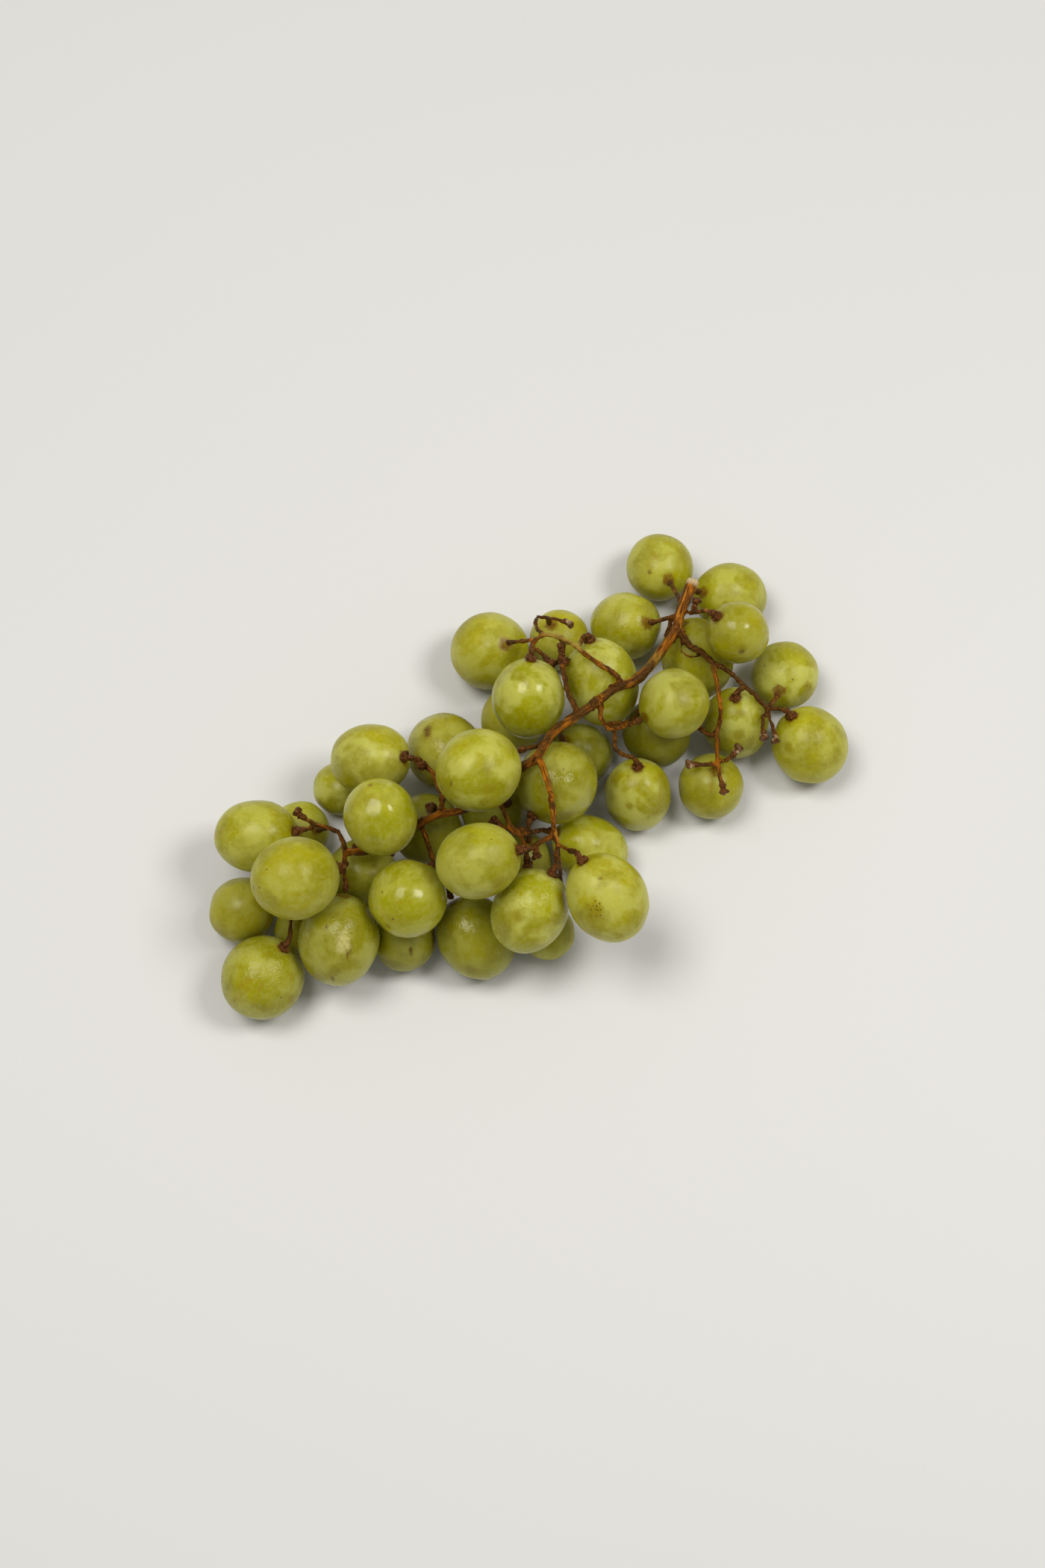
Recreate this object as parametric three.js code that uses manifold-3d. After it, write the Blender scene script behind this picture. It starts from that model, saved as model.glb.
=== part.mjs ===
import * as THREE from "three";
import { mergeVertices } from "three/addons/utils/BufferGeometryUtils.js";
import Module from "manifold-3d";

// A bunch of white grapes lying on its side, with its bare stem ends.
// Millimetres, +Z up. The tables are written in the frame the bunch is seen in,
// x to the right and y away; the whole bunch is then turned about Z by TURN degrees
// so that the main stem points along +X.
const TURN = -36;

// Space left between neighbouring pieces.
const GAP = 0.3;

// How far a berry on the ground is flattened by its own weight.
const PRESS = 0.5;

// Berry surface: sides round the stem axis, bands from end to end.
const BERRY_SIDES = 12;
const BERRY_BANDS = 8;
const DIMPLE_DEPTH = 0.7;
const DIMPLE_RADIUS = 1.9;

// Stem thickness, as radii.
const CUT_RADIUS = 2.0;
const RACHIS_RADIUS = 1.5;
const TWIG_RADIUS = 1.05;
const PEDICEL_RADIUS = 0.8;
const KNOB_RADIUS = 1.7;
const KNOB_LENGTH = 1.5;

// Length of one straight piece of stem, the detail dropped where branches join
// and the closest two corners of the stem may lie.
const TWIG_STEP = 3;
const SMOOTHING = 0.06;
const CLOSEST_CORNERS = 0.01;

// Each berry: middle, width and length, turn and tilt of its stem end in degrees.
const BERRIES = {
  tip_1: { at: [-77, -18, 22], size: [21, 25], end: [0, 20] },
  tip_2: { at: [-64, -35.5, 36.5], size: [23.5, 25.5], end: [20, -20] },
  tip_3: { at: [-82, -37.5, 9.5], size: [19.5, 20], end: [20, 30] },
  tip_4: { at: [-75.5, -58, 11.5], size: [24, 25], end: [45, 40] },
  tip_5: { at: [-52, -48, 19], size: [23.5, 27], end: [80, 30] },
  tip_6: { at: [-67, -12.5, 8.5], size: [17, 18], end: [-20, 50] },
  tip_7: { at: [-67.5, -42, 6.5], size: [13, 14], end: [60, 60] },
  tip_8: { at: [-47.5, -26.5, 10], size: [21, 21], end: [100, 60] },
  lower_1: { at: [-40.5, -17.5, 38], size: [21, 23], end: [-70, -50] },
  lower_2: { at: [-45, 4, 25], size: [21, 25.5], end: [-10, 35] },
  lower_3: { at: [-54.5, 1, 8], size: [16, 17], end: [-30, 40] },
  lower_4: { at: [-23, 11, 10.5], size: [23, 25], end: [-60, 45] },
  lower_5: { at: [-28.5, -12.5, 10.5], size: [21, 21.5], end: [60, 70] },
  lower_6: { at: [-33, -39, 28], size: [22.5, 23], end: [60, -20] },
  lower_7: { at: [-13, -45.5, 11.5], size: [22.5, 26], end: [125, 30] },
  lower_8: { at: [-34.5, -46, 9], size: [18.5, 19], end: [70, 25] },
  middle_1: { at: [-12.5, -5, 43], size: [23.5, 25], end: [30, -10] },
  middle_2: { at: [-9, -5.5, 9.5], size: [20, 20.5], end: [-20, 65] },
  middle_3: { at: [-11.5, -32, 40], size: [21.5, 24.5], end: [10, 20] },
  middle_4: { at: [1, -42, 28], size: [21.5, 25.5], end: [55, 30] },
  middle_5: { at: [22, -41, 36], size: [22.5, 27], end: [130, 35] },
  middle_6: { at: [20, -18.5, 10], size: [19.5, 24.5], end: [165, 30] },
  middle_7: { at: [7.5, -43.5, 7.5], size: [16, 16.5], end: [60, 50] },
  middle_8: { at: [0, -21, 8], size: [17, 17.5], end: [60, 70] },
  middle_9: { at: [10, -3.5, 27], size: [23.5, 24.5], end: [235, 0] },
  middle_10: { at: [17.5, 11.5, 9], size: [19, 20], end: [170, 60] },
  upper_1: { at: [1.5, 21.5, 29.5], size: [21.5, 24], end: [85, 40] },
  upper_2: { at: [-10, 43.5, 11.5], size: [23.5, 26], end: [-25, 65] },
  upper_3: { at: [12, 48.5, 9], size: [18.5, 19], end: [150, 70] },
  upper_4: { at: [23.5, 29, 24], size: [22, 27], end: [110, 40] },
  upper_5: { at: [-2.5, 22.5, 9], size: [19.5, 20.5], end: [45, 45] },
  top_1: { at: [31, 52, 11], size: [21, 24], end: [-25, 55] },
  top_2: { at: [42.5, 72, 10], size: [20.5, 23], end: [-75, 45] },
  top_3: { at: [64, 62, 10.5], size: [21, 24], end: [190, 40] },
  top_4: { at: [63, 42.5, 28], size: [18.5, 19.5], end: [160, 45] },
  top_5: { at: [54, 41.5, 10.5], size: [22, 26], end: [120, 45] },
  wing_1: { at: [80, 36.5, 10], size: [20.5, 21.5], end: [-110, 40] },
  wing_2: { at: [86.5, 13.5, 11.5], size: [22.5, 24.5], end: [135, 45] },
  wing_3: { at: [64.5, 20.5, 11.5], size: [20, 24], end: [105, 70] },
  wing_4: { at: [44, 19.5, 28.5], size: [20.5, 21], end: [-150, 10] },
  wing_5: { at: [56.5, 1, 10], size: [19.5, 20.5], end: [60, 80] },
  wing_6: { at: [34.5, -2, 10.5], size: [20, 24], end: [95, 65] },
  wing_7: { at: [41, 18, 9.5], size: [20.5, 21.5], end: [140, 60] },
};

// Branches of the stem: parent branch and share of its length, radii, way points.
const BRANCHES = {
  rachis: {
    radii: [CUT_RADIUS, RACHIS_RADIUS],
    way: [
      [51.5, 61, 26], [47.5, 51, 26], [45.5, 44, 26.5], [42, 38.5, 27.5], [37, 31, 30],
      [32, 25.5, 33], [27, 22.5, 36], [21, 17, 38], [14, 11.5, 38.5], [9.5, 8, 38.5],
      [7, 4, 39], [4.5, -0.5, 39], [0, -3, 35], [-7, -6.5, 31], [-13, -10, 28.5],
      [-19, -12.5, 27.5], [-24, -13, 27], [-29, -15, 26], [-35.5, -19.5, 25.5],
      [-42, -22, 25.5], [-46.5, -24, 26], [-51.5, -24, 26],
    ],
  },
  cluster: { from: ["rachis", 0.07], way: [[49.5, 50, 26], [51, 50.5, 26]] },
  wing: {
    from: ["rachis", 0.11],
    radii: [1.4, 1.2],
    way: [[49.5, 40, 26], [53, 38, 26], [56.5, 34.5, 26]],
  },
  wing_right: {
    from: ["wing", 1],
    way: [[60, 33, 25.5], [63.5, 30, 25], [66, 27.5, 24.5], [69, 25.5, 23], [71, 23.5, 22], [73, 21.5, 21]],
  },
  wing_down: {
    from: ["wing", 1],
    way: [
      [57.5, 30, 26], [58, 26, 26], [58.5, 21.5, 26], [58.5, 16.5, 25.5],
      [57.5, 13, 25], [57.5, 9, 23.5], [57.5, 4.5, 22],
    ],
  },
  peel: { from: ["wing", 0.1], radii: [0.5, 0.4], way: [[48, 37.5, 24], [50.5, 37, 24], [53, 37, 25]] },
  fork: { from: ["rachis", 0.36], way: [[22.5, 14.5, 36], [23.5, 12, 35], [25, 11, 33], [27, 11.5, 31]] },
  shoulder: {
    from: ["rachis", 0.31],
    way: [
      [25.5, 27.5, 37], [23, 29, 37], [20, 31.5, 37], [17.5, 33.5, 37], [15, 36, 36], [12.5, 38, 35],
      [10, 39.5, 34], [7, 40.5, 33], [5, 40.5, 32], [3.5, 39, 31], [2.5, 37.5, 30.5],
    ],
  },
  crook: {
    from: ["shoulder", 0.86],
    radii: [0.9, 0.8],
    way: [[4, 43.5, 31], [4, 46.5, 30], [4.5, 48, 29], [7.5, 48, 28]],
  },
  inner: { from: ["rachis", 0.43], way: [[12.5, 20, 36], [11, 25, 34], [10.5, 29, 32], [10, 33, 31]] },
  drop: {
    from: ["rachis", 0.56],
    radii: [1.3, 1.0],
    way: [[6.5, -5.5, 39.5], [8, -10.5, 40], [8.5, -14.5, 39], [9, -17.5, 36], [9, -20.5, 34.5], [10, -24, 33]],
  },
  net: { from: ["drop", 0.85], way: [[6.5, -23, 34], [4, -24, 33], [1, -25.5, 32]] },
  under: {
    from: ["rachis", 0.68],
    way: [[-6, -11, 29], [-5, -14, 28], [-3.5, -16.5, 28], [-2, -19, 28.5], [0, -21, 30], [1, -25.5, 32]],
  },
  left: {
    from: ["rachis", 0.8],
    radii: [1.2, 1.0],
    way: [[-23, -9, 29], [-24.5, -5.5, 30], [-26, -1.5, 30], [-29.5, 2, 30]],
  },
  prop: {
    from: ["rachis", 0.84],
    way: [[-28.5, -18, 24], [-27.5, -21, 23], [-26.5, -24, 22], [-25.5, -27.5, 20]],
  },
  tip_up: {
    from: ["rachis", 1],
    way: [[-52, -21.5, 26], [-52.5, -19, 26], [-55, -17.5, 26], [-59.5, -16, 26]],
  },
  tip_down: { from: ["rachis", 1], way: [[-51.5, -27, 26], [-51.5, -31, 26.5]] },
  tip_under: { from: ["tip_down", 0.6], way: [[-57, -33, 22], [-63, -38, 20.5], [-67, -42.5, 20]] },
};

// Pedicels: berry, branch it leaves, share of that branch, points in between.
const PEDICELS = [
  ["tip_1", "tip_up", 1, []],
  ["tip_2", "tip_down", 0.4, []],
  ["tip_3", "tip_under", 0.9, []],
  ["tip_4", "tip_under", 1, []],
  ["tip_5", "tip_down", 1, []],
  ["tip_6", "tip_up", 0.8, []],
  ["tip_7", "tip_under", 0.8, []],
  ["tip_8", "rachis", 0.96, []],
  ["lower_1", "rachis", 0.9, []],
  ["lower_2", "left", 1, []],
  ["lower_3", "rachis", 0.9, [[-39, -10, 19]]],
  ["lower_4", "left", 0.4, []],
  ["lower_5", "rachis", 0.82, []],
  ["lower_6", "prop", 0.8, []],
  ["lower_7", "prop", 1, []],
  ["lower_8", "prop", 0.9, []],
  ["middle_1", "rachis", 0.47, [[4.5, 4.5, 36.5]]],
  ["middle_2", "rachis", 0.68, []],
  ["middle_3", "net", 1, []],
  ["middle_4", "drop", 1, [[9.5, -28, 33]]],
  ["middle_5", "drop", 1, [[13, -26, 34]]],
  ["middle_6", "under", 0.7, []],
  ["middle_7", "drop", 1, [[11, -30, 22]]],
  ["middle_8", "under", 0.6, []],
  ["middle_9", "under", 0.6, [[2, -17.5, 27]]],
  ["middle_10", "rachis", 0.47, []],
  ["upper_1", "shoulder", 1, []],
  ["upper_2", "shoulder", 0.95, [[0, 40, 29]]],
  ["upper_3", "crook", 1, []],
  ["upper_4", "shoulder", 0.5, []],
  ["upper_5", "inner", 1, [[6, 31, 22]]],
  ["top_1", "rachis", 0.09, []],
  ["top_2", "rachis", 0.07, []],
  ["top_3", "rachis", 0.05, []],
  ["top_4", "cluster", 1, []],
  ["top_5", "cluster", 0.3, []],
  ["wing_1", "wing_right", 1, []],
  ["wing_2", "wing_right", 1, []],
  ["wing_3", "wing_right", 0.5, []],
  ["wing_4", "fork", 1, []],
  ["wing_5", "wing_down", 1, []],
  ["wing_6", "fork", 1, [[27.5, 6, 28]]],
  ["wing_7", "fork", 0.6, [[33, 17, 24]]],
];

// Bare pedicels that have lost their berry: branch, share of it, points to the bare end.
const BARE_ENDS = [
  ["tip_up", 1, [[-62.5, -15, 27], [-65, -13, 27.5]]],
  ["left", 0.95, [[-29.5, 0.5, 31.5]]],
  ["under", 0.65, [[-5, -17.5, 27], [-8, -15, 26]]],
  ["net", 0.9, [[1.5, -28, 28]]],
  ["net", 0.6, [[4, -26.5, 31.5]]],
  ["shoulder", 0.97, [[5, 36, 31], [8, 32.5, 31.5]]],
  ["crook", 1, [[9.5, 48, 28], [11.5, 47, 28.5], [14, 45.5, 29]]],
  ["inner", 0.8, [[11.5, 36.5, 33]]],
  ["inner", 1, [[12.5, 32.5, 33]]],
  ["cluster", 1, [[52, 53, 28]]],
  ["rachis", 0.08, [[44.5, 48.5, 24], [44, 45.5, 22]]],
  ["wing_right", 1, [[71.5, 18, 21.5], [71.5, 12.5, 22]]],
  ["wing_right", 0.97, [[74, 16.5, 21.5], [75, 12, 21]]],
  ["wing_down", 0.72, [[55, 12, 25], [51.5, 15.5, 25]]],
  ["wing_down", 1, [[54, 3.5, 22.5], [49.5, 3.5, 23]]],
  ["wing_down", 1, [[61.5, 5.5, 22.5], [63.5, 8, 23.5]]],
  ["wing_down", 1, [[58, 0, 23], [59, -4.5, 23]]],
];

function vector(list) {
  return new THREE.Vector3(list[0], list[1], list[2]);
}

function direction(turn, tilt) {
  const flat = Math.cos(THREE.MathUtils.degToRad(tilt));
  const rise = Math.sin(THREE.MathUtils.degToRad(tilt));
  const angle = THREE.MathUtils.degToRad(turn);
  return new THREE.Vector3(flat * Math.cos(angle), flat * Math.sin(angle), rise);
}

// Reach of a berry from its middle to the plane that touches it in one direction.
function reach(berry, way) {
  const along = berry.axis.dot(way);
  const half = berry.length / 2;
  const side = berry.width / 2;
  return Math.sqrt(half * half * along * along + side * side * (1 - along * along));
}

// Distance from the middle to the skin along one direction.
function skin(berry, way) {
  const along = berry.axis.dot(way);
  const half = berry.length / 2;
  const side = berry.width / 2;
  return 1 / Math.sqrt((along * along) / (half * half) + (1 - along * along) / (side * side));
}

function readBerries() {
  return Object.entries(BERRIES).map(([name, row]) => ({
    name,
    place: vector(row.at),
    middle: vector(row.at),
    width: row.size[0],
    length: row.size[1],
    axis: direction(row.end[0], row.end[1]),
  }));
}

function floorHeight(berry) {
  return reach(berry, new THREE.Vector3(0, 0, 1)) - PRESS;
}

function pushApart(first, second) {
  const way = second.middle.clone().sub(first.middle);
  const distance = way.length();
  way.divideScalar(distance);
  const missing = reach(first, way) + reach(second, way) + GAP - distance;
  if (missing > 0) {
    first.middle.addScaledVector(way, -missing / 2);
    second.middle.addScaledVector(way, missing / 2);
  }
}

// Berries keep to their places as far as their neighbours and the ground allow.
function settle(berries) {
  const rounds = 600;
  for (let round = 0; round < rounds; round += 1) {
    const pull = round < rounds - 200 ? 0.04 : 0;
    for (const berry of berries) {
      const lowest = floorHeight(berry);
      berry.middle.lerp(berry.place, pull);
      if (berry.place.z < lowest + 2 && pull > 0) {
        berry.middle.z = lowest;
      }
    }
    for (let i = 0; i < berries.length; i += 1) {
      for (let j = i + 1; j < berries.length; j += 1) {
        pushApart(berries[i], berries[j]);
      }
    }
    for (const berry of berries) {
      berry.middle.z = Math.max(berry.middle.z, floorHeight(berry));
    }
  }
}

// A berry in its own frame: stem end at +Y with a shallow dimple.
function berryGeometry(berry) {
  const half = berry.length / 2;
  const side = berry.width / 2;
  const profile = [new THREE.Vector2(0, -half)];
  for (let band = 1; band < BERRY_BANDS; band += 1) {
    const angle = Math.PI * (band / BERRY_BANDS - 0.5);
    profile.push(new THREE.Vector2(side * Math.cos(angle), half * Math.sin(angle)));
  }
  profile.push(new THREE.Vector2(DIMPLE_RADIUS, half * Math.sqrt(1 - (DIMPLE_RADIUS / side) ** 2)));
  profile.push(new THREE.Vector2(0, half - DIMPLE_DEPTH));
  const geometry = new THREE.LatheGeometry(profile, BERRY_SIDES);
  const turn = new THREE.Quaternion().setFromUnitVectors(new THREE.Vector3(0, 1, 0), berry.axis);
  geometry.applyQuaternion(turn);
  geometry.translate(berry.middle.x, berry.middle.y, berry.middle.z);
  return geometry;
}

// Moves the points of a branch out of the berries, mostly up or down; the held ones stay.
function clear(points, radii, held, berries) {
  const rounds = 160;
  const shifts = points.map(() => new THREE.Vector3());
  const places = points.map((point) => point.clone());
  for (let round = 0; round < rounds; round += 1) {
    points.forEach((point, index) => {
      if (held.includes(index)) {
        return;
      }
      if (round < rounds - 60) {
        const before = shifts[Math.max(index - 1, 0)];
        const after = shifts[Math.min(index + 1, points.length - 1)];
        const between = before.clone().add(after).multiplyScalar(0.49);
        point.copy(places[index]).add(shifts[index].clone().lerp(between, 0.5));
      }
      for (const berry of berries) {
        const way = point.clone().sub(berry.middle);
        const distance = way.length();
        way.divideScalar(distance);
        const wanted = skin(berry, way) + radii[index] * 1.15 + GAP;
        if (distance < wanted) {
          const sideways = Math.abs(way.z) > 0.35 ? 0.35 : 1;
          way.multiply(new THREE.Vector3(sideways, sideways, 1));
          point.addScaledVector(way, wanted - distance);
        }
      }
      point.z = Math.max(point.z, radii[index] + 1);
      shifts[index].copy(point).sub(places[index]);
    });
  }
}

// Evenly spaced points along a smooth curve through the way points.
function spaced(way, step) {
  const curve = new THREE.CatmullRomCurve3(way, false, "centripetal");
  const count = Math.max(2, Math.round(curve.getLength() / step));
  return curve.getSpacedPoints(count);
}

function pointOn(branch, share) {
  return branch.points[Math.round(share * (branch.points.length - 1))];
}

function growBranches(berries) {
  const grown = {};
  for (const [name, row] of Object.entries(BRANCHES)) {
    const start = row.from ? [pointOn(grown[row.from[0]], row.from[1]).clone()] : [];
    const points = spaced([...start, ...row.way.map(vector)], TWIG_STEP);
    const ends = row.radii ?? [TWIG_RADIUS, TWIG_RADIUS * 0.9];
    const last = points.length - 1;
    const radii = points.map((_, index) => THREE.MathUtils.lerp(ends[0], ends[1], index / last));
    clear(points, radii, row.from ? [0] : [], berries);
    grown[name] = { points, radii };
  }
  return grown;
}

// A round limb through the points, thick as the radii say, closed at both ends.
function limb(points, radii, sides) {
  const thin = 0.01;
  const outline = new THREE.Shape();
  for (let side = 0; side < sides; side += 1) {
    const angle = (2 * Math.PI * side) / sides;
    const x = thin * Math.cos(angle);
    const y = thin * Math.sin(angle);
    if (side === 0) {
      outline.moveTo(x, y);
    } else {
      outline.lineTo(x, y);
    }
  }
  const curve = new THREE.CatmullRomCurve3(points, false, "centripetal");
  const steps = points.length - 1;
  const geometry = new THREE.ExtrudeGeometry(outline, { steps, extrudePath: curve, bevelEnabled: false });
  const rings = curve.getSpacedPoints(steps);
  const corner = new THREE.Vector3();
  const position = geometry.getAttribute("position");
  for (let index = 0; index < position.count; index += 1) {
    corner.fromBufferAttribute(position, index);
    let nearest = 0;
    for (let ring = 1; ring < rings.length; ring += 1) {
      if (corner.distanceTo(rings[ring]) < corner.distanceTo(rings[nearest])) {
        nearest = ring;
      }
    }
    corner.sub(rings[nearest]).setLength(radii[nearest]).add(rings[nearest]);
    position.setXYZ(index, corner.x, corner.y, corner.z);
  }
  return geometry;
}

// The swollen end of a pedicel; its flat face looks along the direction given.
function knob(end, way, radius) {
  const profile = [
    new THREE.Vector2(0, -KNOB_LENGTH),
    new THREE.Vector2(radius, -KNOB_LENGTH * 0.35),
    new THREE.Vector2(radius * 0.85, 0),
    new THREE.Vector2(0, 0),
  ];
  const geometry = new THREE.LatheGeometry(profile, 6);
  geometry.applyQuaternion(new THREE.Quaternion().setFromUnitVectors(new THREE.Vector3(0, 1, 0), way));
  geometry.translate(end.x, end.y, end.z);
  return geometry;
}

function pedicelPoints(grown, row, berry) {
  const tip = berry.middle.clone().addScaledVector(berry.axis, berry.length / 2 + GAP);
  const neck = tip.clone().addScaledVector(berry.axis, KNOB_LENGTH);
  const start = pointOn(grown[row[1]], row[2]).clone();
  const way = [start, ...row[3].map(vector), neck.clone().addScaledVector(berry.axis, 1.2), neck];
  return { tip, points: spaced(way, TWIG_STEP) };
}

function stemPieces(berries) {
  const grown = growBranches(berries);
  const pieces = [];
  for (const [name, branch] of Object.entries(grown)) {
    pieces.push(limb(branch.points, branch.radii, name === "rachis" ? 8 : 6));
  }
  for (const row of PEDICELS) {
    const berry = berries.find((entry) => entry.name === row[0]);
    const { tip, points } = pedicelPoints(grown, row, berry);
    const radii = points.map(() => PEDICEL_RADIUS);
    clear(points, radii, [0, points.length - 1], berries);
    pieces.push(limb(points, radii, 5));
    pieces.push(knob(tip, berry.axis.clone().negate(), KNOB_RADIUS));
  }
  for (const row of BARE_ENDS) {
    const start = pointOn(grown[row[0]], row[1]).clone();
    const points = spaced([start, ...row[2].map(vector)], TWIG_STEP);
    const radii = points.map(() => PEDICEL_RADIUS);
    clear(points, radii, [0], berries);
    pieces.push(limb(points, radii, 5));
    const last = points[points.length - 1];
    const way = last.clone().sub(points[points.length - 2]).normalize();
    pieces.push(knob(last.clone().addScaledVector(way, KNOB_LENGTH * 0.7), way, KNOB_RADIUS * 0.85));
  }
  return pieces;
}

function toSolid(wasm, geometry, closeness = 1e-4) {
  const bare = geometry.clone();
  bare.deleteAttribute("normal");
  bare.deleteAttribute("uv");
  const merged = mergeVertices(bare, closeness);
  const mesh = new wasm.Mesh({
    numProp: 3,
    vertProperties: new Float32Array(merged.getAttribute("position").array),
    triVerts: new Uint32Array(merged.index.array),
  });
  return new wasm.Manifold(mesh);
}

function largestBody(solid) {
  return solid.decompose().sort((first, second) => second.volume() - first.volume())[0];
}

// One solid from many; corners too close together become one and slivers are dropped.
function joined(wasm, geometries) {
  const whole = wasm.Manifold.union(geometries.map((geometry) => toSolid(wasm, geometry)));
  const plain = largestBody(whole.simplify(SMOOTHING));
  return largestBody(toSolid(wasm, fromSolid(plain), CLOSEST_CORNERS));
}

function fromSolid(solid) {
  const mesh = solid.getMesh();
  const geometry = new THREE.BufferGeometry();
  geometry.setAttribute("position", new THREE.BufferAttribute(mesh.vertProperties, 3));
  geometry.setIndex(new THREE.BufferAttribute(mesh.triVerts, 1));
  geometry.computeVertexNormals();
  return geometry;
}

function grapeSkin() {
  return new THREE.MeshStandardMaterial({ color: 0xb3b84f, roughness: 0.45 });
}

function woodyStem() {
  return new THREE.MeshStandardMaterial({ color: 0x7a4522, roughness: 0.85 });
}

function named(name, geometry, material) {
  const mesh = new THREE.Mesh(geometry, material);
  mesh.name = name;
  return mesh;
}

const wasm = await Module();
wasm.setup();

const berries = readBerries();
settle(berries);

const bunch = new THREE.Group();
bunch.name = "bunch";
for (const berry of berries) {
  const solid = toSolid(wasm, berryGeometry(berry)).trimByPlane([0, 0, 1], 0);
  bunch.add(named(`grape_${berry.name}`, fromSolid(solid), grapeSkin()));
}

bunch.add(named("stem", fromSolid(joined(wasm, stemPieces(berries))), woodyStem()));
bunch.rotation.z = THREE.MathUtils.degToRad(TURN);
bunch.updateMatrixWorld(true);

const extent = new THREE.Box3().setFromObject(bunch, true);
bunch.position.x = -(extent.min.x + extent.max.x) / 2;
bunch.position.y = -(extent.min.y + extent.max.y) / 2;

const grapes = new THREE.Group();
grapes.name = "bunch_of_grapes";
grapes.add(bunch);

export default grapes;
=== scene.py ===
import math
import random
import bpy
import numpy as np
from mathutils import Matrix, Vector, noise


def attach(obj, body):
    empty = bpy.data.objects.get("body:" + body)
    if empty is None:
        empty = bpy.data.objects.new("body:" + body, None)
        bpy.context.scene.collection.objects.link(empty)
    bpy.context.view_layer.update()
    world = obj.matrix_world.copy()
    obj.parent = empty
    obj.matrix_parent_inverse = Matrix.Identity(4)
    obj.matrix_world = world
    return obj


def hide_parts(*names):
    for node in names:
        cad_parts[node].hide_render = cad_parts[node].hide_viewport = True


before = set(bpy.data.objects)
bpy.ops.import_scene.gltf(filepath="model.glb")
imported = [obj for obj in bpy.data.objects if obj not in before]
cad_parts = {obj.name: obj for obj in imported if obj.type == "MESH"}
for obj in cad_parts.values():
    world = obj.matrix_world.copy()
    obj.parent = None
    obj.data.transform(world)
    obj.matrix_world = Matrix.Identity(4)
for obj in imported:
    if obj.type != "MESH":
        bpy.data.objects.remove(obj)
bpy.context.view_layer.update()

# The bunch was measured in the frame it is seen in, in millimetres. In the row's frame, in
# metres, it is turned about Z and moved.
TURN = math.radians(-36)
SHIFT = (0.00404, 0.00340, 0.0)

# The photo's camera, in metres; the lens and the sensor in millimetres.
ELEVATION = math.radians(72)
DISTANCE = 0.648
LOOK_AT = 0.015
LENS = 50.0
SENSOR = 36
CLIP = (0.01, 20)

# Lights: right, up and back of the bunch as seen, then edge in metres, watts and colour.
LIGHT_AWAY = 1.3
LIGHTS = {
    "key_light": ((-0.31, 0.38, 0.90), 0.56, 9.2, (1.0, 0.985, 0.92)),
    "side_light": ((0.52, 0.33, 0.80), 0.40, 7.6, (1.0, 0.985, 0.93)),
}
SKY_COLOR = (1.0, 0.99, 0.95, 1)
SKY_STRENGTH = 0.31
FLOOR_HALF = 3.0
FLOOR_COLORS = (0.668, 0.662, 0.662), (0.690, 0.684, 0.684)

# Reading a berry from its CAD corners: those on the floor, in millimetres, and those in the
# dimple or the scar, as a share of its surface, are left out.
ON_FLOOR = 0.05
ON_SKIN = 0.985

# Berry skins: rings and sides of the mesh; depth and radius of the dimple at the stem and of
# the dent opposite, and height of the lumps, in millimetres; then the noise of the lumps, and
# the steps that give each berry its own.
RINGS = 60
SIDES = 96
DIMPLE, DIMPLE_RADIUS = 0.25, 2.2
DENT, DENT_RADIUS = 0.18, 1.1
LUMPS = 0.2
LUMP_NOISE = 1.7
OWN_NOISE = (37.1, 11.7, 23.3)

# Rust round the dimple: radius, how ragged, soft edge, strength and noise. Then the dot at
# the other end: radius and soft edge.
RUST, RUST_RAGGED, RUST_EDGE, RUST_SHARE, RUST_NOISE = 2.3, 0.7, 0.7, 0.9, 9
DOT, DOT_EDGE = 0.75, 0.4

# Flats of a berry: how near a neighbour has to be, in millimetres, then shares of its size:
# how deep they are, how softly and how far out they begin, and how much is taken off.
TOUCHING = 1.5
PRESSED = 0.045
MORE_FLATS = 4
MORE_PRESSED = (0.02, 0.05)
FLAT_SEED = 5
SOFT = 0.018
FLAT_START = -0.08
FLATTENING = 0.85

# The stem, in millimetres: the voxels of its mesh, the gap between a berry and its
# receptacle in the CAD, how far out of it the warts are centred, and how far it is drawn
# towards the berry, with its reach and soft edge.
STEM_VOXEL = 0.32
BERRY_GAP = 0.3
WARTS_OUT = 0.6
DRAWN, DRAWN_REACH, DRAWN_EDGE = 0.75, 2.3, 1.2

# How far the marks of the stem reach and how softly they end, in millimetres.
KNOB_WARTS = (2.9, 1.2)
END_WARTS = (3.2, 1.4)
CUT_FACE = (3.1, 0.9)
PEELED_SPOT = (3.4, 2.0)
PALE_TIP = (1.5, 0.5)

# The grain of the stem: how fast it runs along a branch, and how far apart two branches are.
GRAIN_RUN = 0.16
GRAIN_APART = 9


def turned(x, y, z):
    return Matrix.Rotation(TURN, 3, "Z") @ Vector((x, y, z))


def seen(x, y, z):
    """A place in the seen frame, in millimetres, as a place in the row's frame, in metres."""
    return turned(x, y, z) / 1000 + Vector(SHIFT)


def in_row(places):
    """Places in the seen frame as places in the row's frame, both in millimetres."""
    return np.array([seen(*place) for place in places]) * 1000


RIGHT = turned(1, 0, 0)
UP = turned(0, math.sin(ELEVATION), math.cos(ELEVATION))
BACK = turned(0, -math.cos(ELEVATION), math.sin(ELEVATION))


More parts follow.
